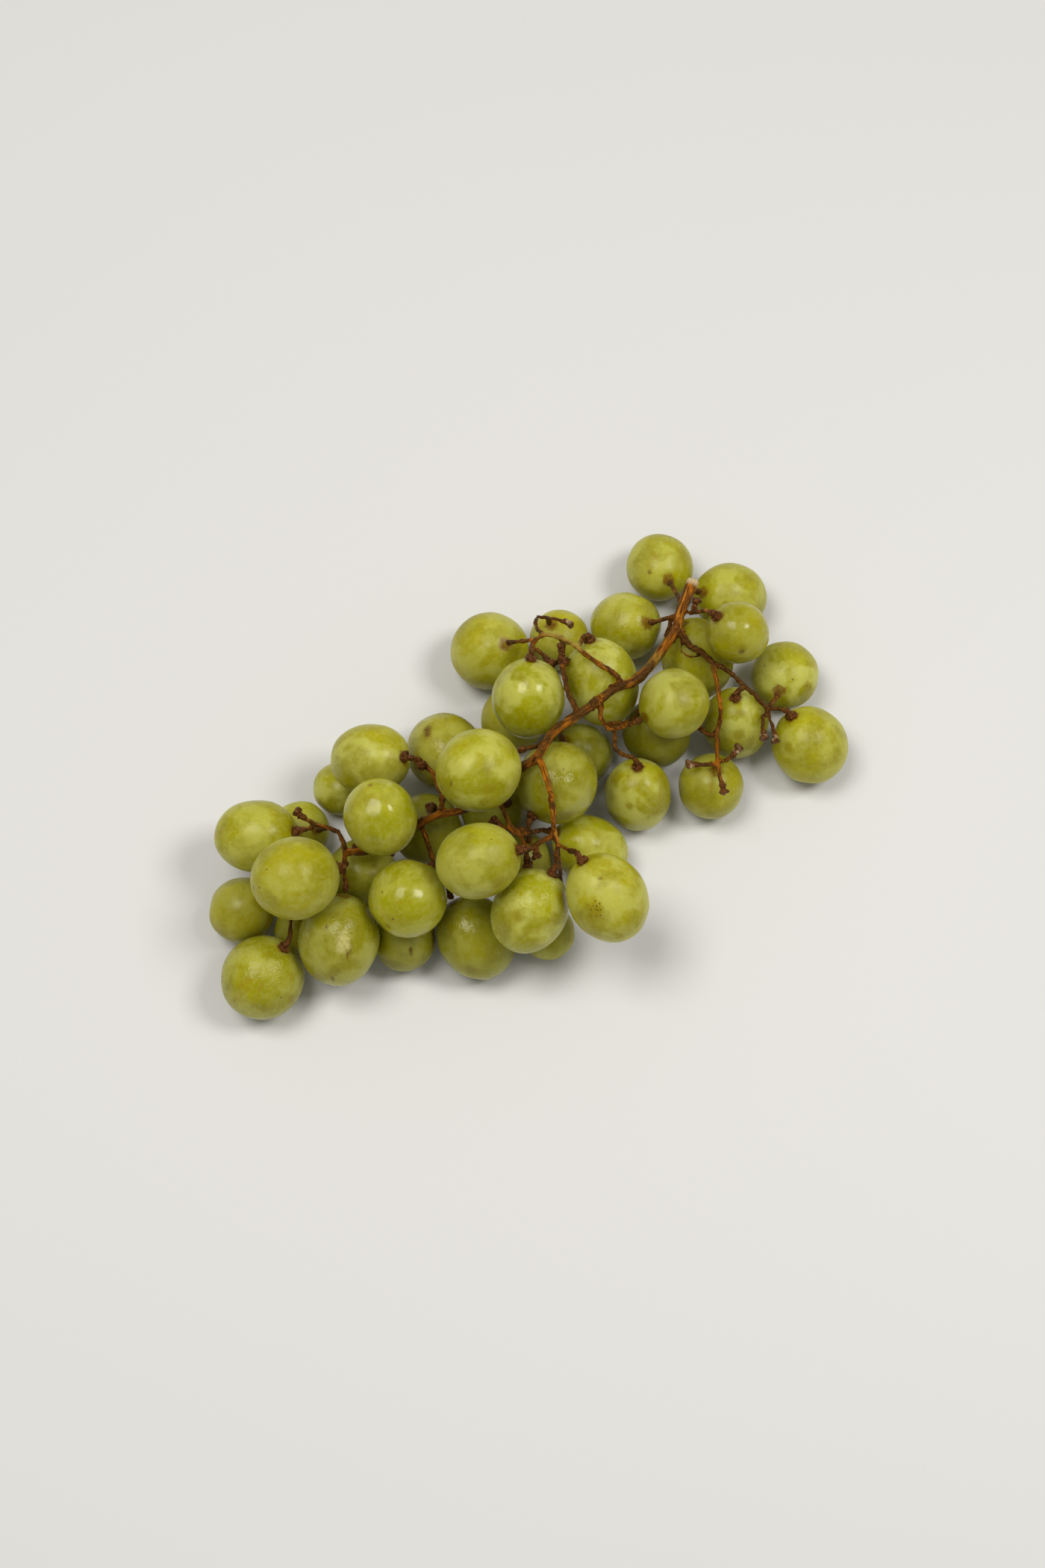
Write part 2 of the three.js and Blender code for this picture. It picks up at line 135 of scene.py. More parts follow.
def add_camera():
    data = bpy.data.cameras.new("camera")
    camera = bpy.data.objects.new("camera", data)
    bpy.context.scene.collection.objects.link(camera)
    axes = Matrix((RIGHT, UP, BACK)).transposed().to_4x4()
    axes.translation = Vector(SHIFT) + Vector((0, 0, LOOK_AT)) + BACK * DISTANCE
    camera.matrix_world = axes
    data.sensor_fit = "VERTICAL"
    data.sensor_height = SENSOR
    data.lens = LENS
    data.clip_start, data.clip_end = CLIP
    bpy.context.scene.camera = camera


def area_light(name, place, size, power, color):
    data = bpy.data.lights.new(name, "AREA")
    data.shape = "SQUARE"
    data.size = size
    data.energy = power
    data.color = color
    light = bpy.data.objects.new(name, data)
    bpy.context.scene.collection.objects.link(light)
    light.location = place
    light.rotation_euler = (Vector(SHIFT) - Vector(place)).to_track_quat("-Z", "Y").to_euler()


def add_lights():
    for name, ((right, up, back), size, power, color) in LIGHTS.items():
        place = (RIGHT * right + UP * up + BACK * back) * LIGHT_AWAY
        area_light(name, place, size, power, color)
    world = bpy.data.worlds.new("studio")
    world.use_nodes = True
    background = world.node_tree.nodes["Background"]
    background.inputs["Color"].default_value = SKY_COLOR
    background.inputs["Strength"].default_value = SKY_STRENGTH
    bpy.context.scene.world = world
    bpy.context.scene.view_settings.view_transform = "Standard"


class Tree:
    """Short names for building a material's nodes."""

    def __init__(self, name):
        self.material = bpy.data.materials.new(name)
        self.material.use_nodes = True
        self.nodes = self.material.node_tree.nodes
        self.links = self.material.node_tree.links
        self.shader = self.nodes["Principled BSDF"]

    def put(self, socket, value):
        if isinstance(value, bpy.types.NodeSocket):
            self.links.new(value, socket)
        elif isinstance(value, tuple) and len(value) == 3 and socket.type == "RGBA":
            socket.default_value = (*value, 1)
        else:
            socket.default_value = value

    def node(self, kind, **inputs):
        node = self.nodes.new(kind)
        for name, value in inputs.items():
            self.put(node.inputs[name.replace("_", " ")], value)
        return node

    def attribute(self, name, output):
        node = self.nodes.new("ShaderNodeAttribute")
        node.attribute_name = name
        return node.outputs[output]

    def scaled(self, vector, scale):
        node = self.nodes.new("ShaderNodeVectorMath")
        node.operation = "MULTIPLY"
        self.put(node.inputs[0], vector)
        node.inputs[1].default_value = scale
        return node.outputs[0]

    def noise(self, vector, scale, detail=3.0, rough=0.5, distortion=0.0):
        node = self.node("ShaderNodeTexNoise", Vector=vector, Scale=scale, Detail=detail)
        node.inputs["Roughness"].default_value = rough
        node.inputs["Distortion"].default_value = distortion
        return node.outputs[0]

    def ramp(self, value, *stops):
        node = self.nodes.new("ShaderNodeValToRGB")
        self.put(node.inputs[0], value)
        elements = node.color_ramp.elements
        while len(elements) < len(stops):
            elements.new(0.5)
        for element, (place, level) in zip(elements, stops):
            element.position = place
            element.color = (level, level, level, 1)
        return node.outputs[0]

    def math(self, operation, first, second):
        node = self.nodes.new("ShaderNodeMath")
        node.operation = operation
        self.put(node.inputs[0], first)
        self.put(node.inputs[1], second)
        return node.outputs[0]

    def mix(self, factor, first, second):
        node = self.nodes.new("ShaderNodeMix")
        node.data_type = "RGBA"
        # Inputs 6 and 7 are the node's colours, and output 2 is their mixture.
        self.put(node.inputs[0], factor)
        self.put(node.inputs[6], first)
        self.put(node.inputs[7], second)
        return node.outputs[2]

    def over(self, color, mask, strength, tint):
        return self.mix(self.math("MULTIPLY", mask, strength), color, tint)

    def settle(self, settings):
        for name, value in settings.items():
            self.shader.inputs[name].default_value = value

    def bump(self, height, distance, normal=None):
        node = self.nodes.new("ShaderNodeBump")
        self.put(node.inputs["Height"], height)
        node.inputs["Strength"].default_value = 1
        node.inputs["Distance"].default_value = distance
        if normal is not None:
            self.put(node.inputs["Normal"], normal)
        return node.outputs[0]


# Colours of the skin. Pairs are mixed over wide patches.
FRESH = (0.262, 0.262, 0.001), (0.332, 0.324, 0.001)
YELLOW = (0.322, 0.278, 0.001), (0.394, 0.346, 0.001)
CLOUD = (0.460, 0.455, 0.100)
OLIVE = (0.248, 0.220, 0.001)
VEIN = (0.500, 0.485, 0.12)
BLOOM = (0.525, 0.505, 0.14)
MIST = (0.520, 0.505, 0.15)
RUSTY = (0.33, 0.200, 0.004)
DOTS = (0.08, 0.045, 0.008)
STAIN = (0.265, 0.222, 0.001)
SPECKS = (0.12, 0.055, 0.006)
RING = (0.185, 0.075, 0.003)
SCAR = (0.13, 0.050, 0.005)
CORK = (0.60, 0.55, 0.24)
# Painted shade: the dark olive that berries inside and under the bunch are darkened towards.
PAINTED_SHADE_COLOR = (0.070, 0.062, 0.001)
SKIN_SHADER = {
    "Subsurface Weight": 0.88,
    "Subsurface Radius": (1.0, 0.92, 0.12),
    "Subsurface Scale": 0.022,
    "Sheen Weight": 0.07,
    "Sheen Roughness": 0.10,
    "Sheen Tint": (0.95, 0.92, 0.20, 1),
    "Specular Tint": (1.0, 1.0, 0.92, 1),
    "IOR": 1.34,
}


def skin_material():
    """The skin of all the berries. Its attributes say how each berry differs."""
    tree = Tree("grape_skin")
    place = tree.attribute("skin", "Vector")
    along = tree.scaled(place, (1, 1, 0.3))
    ripe = tree.attribute("ripe", "Fac")
    pale = tree.attribute("pale", "Fac")
    gloss = tree.attribute("gloss", "Fac")

    # Patches, clouds, veins and bloom.
    wide = tree.ramp(tree.noise(place, 0.07, 2, 0.5, 0.3), (0.38, 0), (0.62, 1))
    fresh = tree.mix(wide, *FRESH)
    yellow = tree.mix(wide, *YELLOW)
    color = tree.mix(ripe, fresh, yellow)
    cloud = tree.ramp(tree.noise(place, 0.105, 5, 0.56, 0.35), (0.45, 0), (0.56, 1))
    cloudy = tree.math("ADD", tree.math("MULTIPLY", pale, 0.62), 0.26)
    color = tree.over(color, cloud, cloudy, CLOUD)
    olive = tree.ramp(tree.noise(place, 0.11, 3, 0.5, 0.4), (0.50, 0), (0.66, 1))
    color = tree.over(color, olive, 0.72, OLIVE)
    vein = tree.ramp(tree.noise(along, 0.40, 3, 0.5, 0.7), (0.44, 0), (0.50, 1), (0.56, 0))
    color = tree.over(color, vein, 0.13, VEIN)
    bloom = tree.ramp(tree.noise(place, 0.30, 6, 0.66, 0.5), (0.50, 0), (0.74, 1))
    color = tree.over(color, bloom, 0.24, BLOOM)
    mist = tree.ramp(tree.noise(place, 0.75, 4, 0.6, 0.3), (0.50, 0), (0.62, 1))
    color = tree.over(color, mist, 0.14, MIST)

    # Rust and scattered dark dots.
    rusty = tree.ramp(tree.noise(along, 0.20, 5, 0.62, 0.5), (0.62, 0), (0.74, 1))
    color = tree.over(color, rusty, 0.65, RUSTY)
    cells = tree.node("ShaderNodeTexVoronoi", Vector=place, Scale=0.27)
    dot = tree.ramp(cells.outputs["Distance"], (0.05, 1), (0.085, 0))
    chosen = tree.ramp(cells.outputs["Color"], (0.72, 0), (0.74, 1))
    color = tree.over(color, tree.math("MULTIPLY", dot, chosen), 0.9, DOTS)

    # The marks of single berries.
    fine = tree.noise(place, 1.1, 4, 0.6)
    stain = tree.attribute("stain", "Fac")
    color = tree.over(color, stain, 0.80, STAIN)
    grit = tree.node("ShaderNodeTexVoronoi", Vector=place, Scale=1.1)
    grit = tree.ramp(grit.outputs["Distance"], (0.20, 1), (0.34, 0))
    specks = tree.ramp(tree.attribute("specks", "Fac"), (0.35, 0), (0.8, 1))
    color = tree.over(color, grit, specks, SPECKS)
    ring = tree.attribute("ring", "Fac")
    color = tree.over(color, ring, tree.ramp(fine, (0.3, 0.55), (0.6, 1)), RING)
    scar = tree.attribute("scar", "Fac")
    scar = tree.math("MULTIPLY", scar, tree.ramp(fine, (0.38, 0.55), (0.58, 1)))
    color = tree.mix(scar, color, SCAR)
    cork = tree.attribute("cork", "Fac")
    color = tree.over(color, cork, tree.ramp(fine, (0.35, 0.4), (0.55, 1)), CORK)
    # Painted shade: the skins of berries inside and under the bunch are darkened towards a dark
    # olive, standing in for the shadow they lie in.
    color = tree.mix(tree.attribute("deep", "Fac"), color, PAINTED_SHADE_COLOR)
    tree.put(tree.shader.inputs["Base Color"], color)

    dull = tree.math("MULTIPLY", tree.math("ADD", bloom, fine), 0.11)
    smooth = tree.math("SUBTRACT", 0.34, tree.math("MULTIPLY", gloss, 0.26))
    rough = tree.math("ADD", dull, smooth)
    rough = tree.math("ADD", rough, tree.math("MULTIPLY", scar, 0.3))
    tree.put(tree.shader.inputs["Roughness"], rough)
    sparkle = tree.attribute("sparkle", "Fac")
    pebbles = tree.math("MULTIPLY", tree.noise(place, 1.3, 2, 0.5), sparkle)
    bumps = tree.bump(tree.noise(place, 0.25, 2, 0.5), 0.00012)
    bumps = tree.bump(tree.noise(place, 1.6, 3, 0.6), 0.000018, bumps)
    tree.put(tree.shader.inputs["Normal"], tree.bump(pebbles, 0.00024, bumps))
    tree.settle(SKIN_SHADER)
    return tree.material


# Colours of the wood. Pairs are mixed by noise.
BARK = (0.058, 0.013, 0.001), (0.560, 0.172, 0.003)
PEEL = (0.60, 0.29, 0.035)
BARE_WOOD = (0.44, 0.30, 0.045)
DRY = (0.014, 0.005, 0.001), (0.095, 0.034, 0.006)
KNOBBY = (0.030, 0.008, 0.002), (0.190, 0.060, 0.018)
STEM_SPECK = (0.45, 0.23, 0.045)
CUT_WOOD = (0.66, 0.50, 0.29)
STEM_SHADER = {"Specular IOR Level": 0.5, "Specular Tint": (1.0, 0.60, 0.22, 1)}


def stem_material():
    """Streaked bark that darkens with its age, with warts, peeled places and pale cuts."""
    tree = Tree("stem_bark")
    grain = tree.attribute("grain", "Vector")
    place = tree.attribute("place", "Vector")
    age = tree.attribute("age", "Fac")
    streak = tree.ramp(tree.noise(grain, 1.5, 5, 0.66, 0.4), (0.44, 0), (0.60, 1))
    color = tree.mix(streak, *BARK)
    peel = tree.ramp(tree.noise(grain, 0.9, 3, 0.5, 0.5), (0.58, 0), (0.63, 1))
    peel = tree.math("MULTIPLY", peel, tree.math("SUBTRACT", 1.0, age))
    color = tree.over(color, peel, 0.6, PEEL)
    color = tree.mix(tree.attribute("peeled", "Fac"), color, BARE_WOOD)
    patchy = tree.ramp(tree.noise(place, 1.3, 5, 0.72), (0.42, 0), (0.60, 1))
    color = tree.over(color, age, 0.92, tree.mix(patchy, *DRY))
    color = tree.mix(tree.attribute("wart", "Fac"), color, tree.mix(patchy, *KNOBBY))
    speck = tree.ramp(tree.noise(place, 2.2, 3, 0.6), (0.62, 0), (0.67, 1))
    color = tree.over(color, speck, 0.5, STEM_SPECK)
    color = tree.mix(tree.attribute("cut", "Fac"), color, CUT_WOOD)
    tree.put(tree.shader.inputs["Base Color"], color)
    tree.put(tree.shader.inputs["Roughness"], tree.ramp(streak, (0, 0.34), (1, 0.20)))
    bumps = tree.bump(tree.noise(grain, 1.7, 5, 0.65), 0.0007)
    bumps = tree.bump(tree.noise(place, 1.9, 4, 0.65), 0.00035, bumps)
    tree.put(tree.shader.inputs["Normal"], bumps)
    tree.settle(STEM_SHADER)
    return tree.material


def floor_material():
    tree = Tree("pale_floor")
    place = tree.nodes.new("ShaderNodeTexCoord").outputs["Object"]
    soft = tree.ramp(tree.noise(place, 1.2, 2, 0.4), (0.3, 0), (0.7, 1))
    tree.put(tree.shader.inputs["Base Color"], tree.mix(soft, *FLOOR_COLORS))
    tree.settle({"Roughness": 0.55, "Specular IOR Level": 0.25})
    return tree.material


def mesh_object(name, vertices, faces, material):
    mesh = bpy.data.meshes.new(name)
    mesh.from_pydata([tuple(v) for v in vertices], [], faces)
    mesh.polygons.foreach_set("use_smooth", [True] * len(mesh.polygons))
    mesh.materials.append(material)
    mesh.update()
    obj = bpy.data.objects.new(name, mesh)
    bpy.context.scene.collection.objects.link(obj)
    return obj


def set_values(obj, name, values):
    attribute = obj.data.attributes.new(name, "FLOAT", "POINT")
    attribute.data.foreach_set("value", np.asarray(values, np.float32))


def set_vectors(obj, name, values):
    attribute = obj.data.attributes.new(name, "FLOAT_VECTOR", "POINT")
    attribute.data.foreach_set("vector", np.asarray(values, np.float32).ravel())


def corners(node):
    """The corners of a CAD piece, each once, in millimetres."""
    points = np.array([v.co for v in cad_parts[node].data.vertices], float) * 1000
    return np.unique(np.round(points, 4), axis=0)


def read_berry(node):
    """Middle, stem direction, half length and half width of a berry, from its CAD corners."""
    points = corners(node)
    points = points[points[:, 2] > ON_FLOOR]
    center = points.mean(0)
    used = np.ones(len(points), bool)
    local = points - center
    for _ in range(3):
        x, y, z = local[used].T
        terms = np.stack([x * x, y * y, z * z, x * y, x * z, y * z, x, y, z], 1)
        fit = np.linalg.lstsq(terms, np.ones(len(terms)), rcond=None)[0]
        form = np.array([
            [fit[0], fit[3] / 2, fit[4] / 2],
            [fit[3] / 2, fit[1], fit[5] / 2],
            [fit[4] / 2, fit[5] / 2, fit[2]],
        ])
        middle = -0.5 * np.linalg.solve(form, fit[6:])
        level = 1 + middle @ form @ middle
        away = local - middle
        value = np.einsum("ij,jk,ik->i", away, form, away) / level
        used = value > ON_SKIN
    pole = away[np.argmin(value)]
    axis = pole / np.linalg.norm(pole)
    height = away[used] @ axis
    width = np.sqrt(np.maximum((away[used] ** 2).sum(1) - height ** 2, 0))
    terms = np.stack([height ** 2, width ** 2], 1)
    sizes = np.linalg.lstsq(terms, np.ones(used.sum()), rcond=None)[0]
    return node, middle + center, axis, 1 / math.sqrt(sizes[0]), 1 / math.sqrt(sizes[1])


# Marks on single berries: right and up from its middle as shares of its size, as seen, then
# the radius in millimetres, how much longer than wide, and which attribute it goes into.
MARKS = {
    "tip_2": [(-0.72, -0.18, 0.9, 0.5, "scar"), (-0.86, -0.42, 0.5, 1.6, "scar")],
    "tip_3": [(0.60, 0.30, 3.0, 1, "stain"), (0.62, 0.42, 0.8, 1, "scar")],
    "tip_4": [(-0.62, -0.50, 0.5, 1, "scar"), (0.78, -0.45, 2.2, 1.3, "stain")],
    "tip_5": [(0.20, 0.02, 2.7, 1.4, "cork"), (0.27, -0.28, 0.7, 2.8, "scar"),
              (-0.22, 0.35, 0.4, 3.5, "scar"), (0.35, -0.22, 0.3, 4.0, "scar"),
              (-0.10, -0.88, 0.7, 2, "scar")],
    "lower_2": [(0.85, -0.10, 2.4, 1.2, "stain")],
    "lower_4": [(-0.42, 0.50, 1.3, 2.2, "scar"), (-0.40, 0.50, 2.6, 1.4, "stain")],
    "lower_6": [(-0.33, -0.48, 0.5, 1, "scar"), (-0.60, 0.20, 0.3, 1, "scar")],
    "lower_7": [(-0.10, -0.80, 3.0, 0.8, "stain")],
    "lower_8": [(0.25, -0.35, 0.6, 3, "scar"), (0.10, 0.30, 2.0, 1, "stain")],
    "middle_1": [(-0.62, -0.32, 0.5, 2, "scar"), (0.30, -0.45, 3.4, 0.7, "stain")],
    "middle_3": [(0.55, -0.55, 2.6, 0.8, "stain")],
    "middle_4": [(-0.35, -0.10, 2.6, 1, "stain"), (0.65, -0.20, 2.0, 1.5, "stain")],
    "middle_5": [(-0.33, -0.30, 3.6, 1.1, "stain"), (-0.33, -0.25, 3.6, 1.1, "specks"),
                 (-0.20, 0.47, 0.6, 1.4, "scar"), (-0.30, 0.88, 3.0, 0.6, "stain")],
    "middle_9": [(0.30, -0.80, 3.0, 0.8, "stain")],
    "top_1": [(0.25, -0.75, 2.6, 0.8, "stain")],
    "top_2": [(0.60, 0.25, 2.8, 1.2, "stain"), (-0.35, -0.20, 0.7, 1.2, "scar")],
    "top_3": [(0.50, 0.45, 2.6, 0.8, "stain"), (-0.20, -0.25, 1.0, 1, "stain")],
    "top_4": [(0.05, -0.66, 1.0, 1, "scar"), (0.05, -0.60, 2.2, 1, "stain")],
    "upper_1": [(0.00, -0.82, 0.4, 1, "scar")],
    "wing_1": [(0.55, -0.40, 2.4, 1, "stain"), (0.60, -0.40, 2.0, 1, "specks")],
    "wing_2": [(-0.60, 0.60, 2.6, 1, "stain"), (-0.62, -0.10, 2.2, 1, "stain")],
    "wing_3": [(0.02, 0.25, 1.8, 0.8, "stain"), (0.00, -0.35, 2.6, 1.2, "stain"),
               (0.82, -0.05, 1.4, 1, "stain")],
    "wing_5": [(-0.40, 0.55, 2.0, 1, "stain")],
    "wing_6": [(-0.62, 0.45, 2.6, 1.5, "stain"), (-0.28, -0.38, 1.7, 1, "stain"),
               (0.62, 0.40, 2.6, 1.4, "stain"), (-0.30, 0.45, 0.35, 1, "scar")],
}


# How a berry in full view looks: how yellow, cloudy, glossy and pebbly it is. The others get
# a yellowness of their own and the same values for the rest.
LOOKS = {
    "tip_1": (0.35, 0.45, 0.3, 0), "tip_2": (0.55, 0.50, 0.2, 0), "tip_3": (0.8, 0.3, 0.3, 0),
    "tip_4": (0.35, 0.4, 0.7, 1), "tip_5": (0.5, 0.7, 0.6, 0.6), "lower_1": (0.15, 0.3, 1, 0),
    "lower_2": (0.6, 0.9, 0.3, 0.3), "lower_3": (0.3, 1.4, 0.3, 0),
    "lower_4": (0.8, 0.5, 0.5, 0.4), "lower_6": (0.15, 0.25, 0.9, 0),
    "lower_7": (0.35, 0.3, 0.9, 0.5), "lower_8": (0.4, 0.8, 0.2, 0),
    "middle_1": (0.25, 0.70, 0.15, 0), "middle_3": (0.2, 0.5, 0.1, 0),
    "middle_4": (0.2, 1.2, 0.8, 1), "middle_5": (0.65, 0.7, 0.15, 0),
    "middle_6": (0.3, 0.85, 0.6, 0.4), "middle_9": (0.35, 0.8, 0.8, 0.7),
    "middle_10": (0.4, 0.7, 0.5, 0.4), "upper_1": (0.05, 1.0, 0.9, 0),
    "upper_2": (0.6, 0.5, 0.1, 0), "upper_3": (0.7, 0.4, 0.2, 0), "upper_4": (0.2, 1.4, 0.2, 0),
    "top_1": (0.45, 0.65, 0.5, 0.5), "top_2": (0.45, 0.5, 0.2, 0), "top_3": (0.4, 0.6, 0.2, 0),
    "top_4": (0.75, 0.35, 0.8, 0), "wing_1": (0.35, 1.3, 0.1, 0), "wing_2": (0.6, 0.5, 0.1, 0),
    "wing_3": (0.3, 1.4, 0.2, 0), "wing_4": (0.35, 0.95, 0.2, 0), "wing_5": (0.6, 0.5, 0.3, 0),
    "wing_6": (0.45, 1.2, 0.3, 0),
}

# Painted shade: how much darker the skins of the berries inside and under the bunch are painted,
# for the shadow they lie in.
PAINTED_SHADE_OF_BERRY = {
    "lower_5": 0.45, "lower_7": 0.33, "lower_8": 0.48, "middle_8": 0.56, "middle_10": 0.42,
    "wing_7": 0.42, "tip_7": 0.38, "tip_8": 0.24, "tip_5": 0.22, "middle_9": 0.25,
    "top_4": 0.23, "wing_4": 0.17, "tip_3": 0.16, "wing_5": 0.18, "lower_4": 0.18,
    "wing_3": 0.13, "wing_6": 0.12, "tip_4": 0.11, "tip_2": 0.13, "middle_3": 0.08,
    "middle_2": 0.15, "middle_7": 0.12, "top_5": 0.10, "upper_5": 0.15,
}


def flats_of(index, berries):
    """Places where a berry is pressed a little flat: against its neighbours, and a few more."""
    _, middle, _, half, side = berries[index]
    flats = []
    for other, (_, far, _, other_half, other_side) in enumerate(berries):
        apart = np.linalg.norm(far - middle)
        gap = apart - (half + side + other_half + other_side) / 2
        if other != index and gap < TOUCHING:
            flats.append(((far - middle) / apart, PRESSED))
    draws = random.Random(index + FLAT_SEED)
    for _ in range(MORE_FLATS):
        way = Vector((draws.gauss(0, 1), draws.gauss(0, 1), draws.gauss(0, 1))).normalized()
        flats.append((np.array(way), draws.uniform(*MORE_PRESSED)))
    return flats


def faded(radius, distance, edge):
    """1 inside a radius, 0 outside it, with a soft edge between."""
    return min(1, max(0, (radius - distance) / edge))


def skin_points(index, berries, turn):
    """The places of a berry's skin, where each lies in the noise, and its rust at both ends."""
    _, middle, _, half, side = berries[index]
    flats = [(turn.T @ way, depth) for way, depth in flats_of(index, berries)]
    own = Vector([index * step for step in OWN_NOISE])
    points, skin, rust = [], [], []
    for row in range(RINGS + 1):
        angle = math.pi * row / RINGS
        across = side * math.sin(angle)
        for column in range(SIDES if 0 < row < RINGS else 1):
            around = 2 * math.pi * column / SIDES
            right = math.sin(angle) * math.cos(around)
            ahead = math.sin(angle) * math.sin(around)
            way = Vector((right, ahead, math.cos(angle)))
            lump = 1 + LUMPS / side * noise.noise(way * LUMP_NOISE + own)
            point = np.array(way) * lump
            for flat, depth in flats:
                past = point @ flat - (1 - depth)
                if past > FLAT_START:
                    point -= flat * FLATTENING * SOFT * math.log1p(math.exp(past / SOFT))
            point *= (side, side, half)
            if way.z > 0:
                point[2] -= DIMPLE * math.exp(-((across / DIMPLE_RADIUS) ** 2))
                ragged = RUST + RUST_RAGGED * noise.noise(way * RUST_NOISE + own)
                rust.append(faded(ragged, across, RUST_EDGE) * RUST_SHARE)
            else:
                point[2] += DENT * math.exp(-((across / DENT_RADIUS) ** 2))
                rust.append(faded(DOT, across, DOT_EDGE))
            points.append(turn @ point + middle)
            skin.append(np.array(way) * (side, side, half) + np.array(own))
    return np.array(points), skin, rust


def skin_faces(last):
    """The faces of a berry's skin, from point 0 at the stem's end to the last one."""
    def first(row):
        return 1 + (row - 1) * SIDES

    faces = []
    for column in range(SIDES):
        beside = (column + 1) % SIDES
        faces.append((0, first(1) + column, first(1) + beside))
        for row in range(1, RINGS - 1):
            faces.append((
                first(row) + column, first(row + 1) + column,
                first(row + 1) + beside, first(row) + beside,
            ))
        faces.append((first(RINGS - 1) + column, last, first(RINGS - 1) + beside))
    return faces


def mark_values(short, middle, points):
    """How strongly each kind of mark shows at each place of a berry's skin."""
    values = {kind: np.zeros(len(points)) for kind in ("scar", "cork", "stain", "specks")}
    for right, up, radius, longer, kind in MARKS.get(short, []):
        back = math.sqrt(max(0.02, 1 - right * right - up * up))
        way = np.array(RIGHT * right + UP * up + BACK * back)
        away = points - middle
        spot = points[np.argmax(away @ way / np.linalg.norm(away, axis=1))]
        offset = points - spot
        sideways = offset @ np.array(RIGHT)
        rest = np.sqrt(np.maximum((offset ** 2).sum(1) - sideways ** 2, 0))
        distance = np.sqrt(sideways ** 2 + (rest / longer) ** 2)
        near = np.flatnonzero(distance < 1.6 * radius)
        ragged = 0.25 if kind == "scar" else 0.9
        wobble = [noise.noise(Vector(points[i] * 0.9 / (ragged + 0.75))) for i in near]
        distance[near] += ragged * np.array(wobble)
        edge = radius * (0.6 if kind == "stain" else 0.45)
        values[kind] = np.maximum(values[kind], np.clip((radius - distance) / edge, 0, 1))
    return values


def berry(index, berries, material):
    node, middle, axis, _, _ = berries[index]
    short = node.replace("grape_", "")
    turn = np.array(Vector(axis).to_track_quat("Z", "Y").to_matrix())
    points, skin, rust = skin_points(index, berries, turn)
    marks = mark_values(short, middle, points)
    points[:, 2] = np.maximum(points[:, 2], 0.0)
    obj = mesh_object(f"skin_{short}", points / 1000, skin_faces(len(points) - 1), material)
    set_vectors(obj, "skin", skin)
    set_values(obj, "ring", rust)
    for kind, marked in marks.items():
        set_values(obj, kind, marked)
    looks = LOOKS.get(short, (0.5 + 0.4 * math.sin(index * 2.4), 0.35, 0.1, 0))
    for name, value in zip(("ripe", "pale", "gloss", "sparkle"), looks):
        set_values(obj, name, np.full(len(points), value))
    # Painted shade for the berries inside and under the bunch.
    set_values(obj, "deep", np.full(len(points), PAINTED_SHADE_OF_BERRY.get(short, 0)))
    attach(obj, "root")
    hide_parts(node)


# Way points of the woody parts in the seen frame, for the run of their grain.
RUNS = {
    "rachis": [(51.5, 61, 26), (45.5, 44, 26.5), (37, 31, 30), (27, 22.5, 36), (14, 11.5, 38.5),
               (7, 4, 39), (4.5, -0.5, 39), (0, -3, 35), (-13, -10, 28.5), (-24, -13, 27),
               (-35.5, -19.5, 25.5), (-51.5, -24, 26)],
    "wing": [(45.5, 43, 26), (56.5, 34.5, 26), (63.5, 30, 25), (73, 21.5, 21), (73, 12.5, 21)],
    "wing_down": [(56.5, 34.5, 26), (58.5, 21.5, 26), (57.5, 4.5, 22), (58.5, -4.5, 22)],
    "fork": [(21, 17, 38), (23.5, 12, 35), (27, 11.5, 31), (34, 8, 20)],
    "shoulder": [(27, 22.5, 36), (20, 31.5, 37), (12.5, 38, 35), (5, 40.5, 32), (2.5, 37.5, 30.5)],
    "crook": [(5, 40.5, 32), (4, 47, 30), (7.5, 48, 28), (14, 45.5, 29)],
    "inner": [(14, 12.5, 38), (11, 25, 34), (10, 33, 31)],
    "drop": [(4.5, -0.5, 39), (8, -10.5, 40), (9, -20.5, 34.5), (10, -24, 33), (15, -29, 34)],
    "under": [(-7, -6.5, 30), (-5, -14, 28), (0, -21, 30), (1, -25.5, 32)],
    "net": [(9, -20.5, 34.5), (1, -25.5, 32)],
    "left": [(-23, -12.5, 27), (-25, -4, 30), (-29.5, 2, 30)],
    "prop": [(-29.5, -15.5, 26), (-25.5, -27.5, 20)],
    "tip": [(-59.5, -16, 26), (-52.5, -19, 26), (-51.5, -24, 26), (-51.5, -31, 26.5)],
    "tip_under": [(-51.5, -28, 26), (-63, -38, 20.5), (-67, -42.5, 20)],
}
# In the seen frame too: the cut end, the bare ends, where the bark is peeled off, and which
# ends are pale.
CUT_END = (51.5, 61, 26)
BARE_ENDS = [
    (-65, -13, 27.5), (-29.5, 0.5, 31.5), (-8, -15, 26), (1.5, -28, 28), (4, -26.5, 31.5),
    (8, 32.5, 31.5), (14, 45.5, 29), (11.5, 36.5, 33), (12.5, 32.5, 33), (52, 53, 28),
    (44, 45.5, 22), (71.5, 12.5, 22), (75, 12, 21), (51.5, 15.5, 25), (49.5, 3.5, 23),
    (63.5, 8, 23.5), (59, -4.5, 23),
]
PEELED = [
    (7, 40, 33), (10, 39.2, 34), (13, 37.5, 35), (16, 35, 36), (37, 31, 30), (39.5, 34, 29),
    (-34.5, -18.7, 26),
]
PALE_ENDS = [
    (14, 45.5, 29), (71.5, 12.5, 22), (75, 12, 21), (63.5, 8, 23.5), (49.5, 3.5, 23),
]

# How old and dark the bark is: of a run, of the runs that aren't named, and of places that
# are farther than OUTER from any run, in millimetres.
AGES = {
    "rachis": 0.05, "drop": 0.12, "shoulder": 0.2, "wing_down": 0.3, "wing": 1.3, "tip": 0.45,
    "fork": 0.5,
}
OTHER_AGE = 0.75
OUTER_AGE = 0.85
OUTER = 1.9


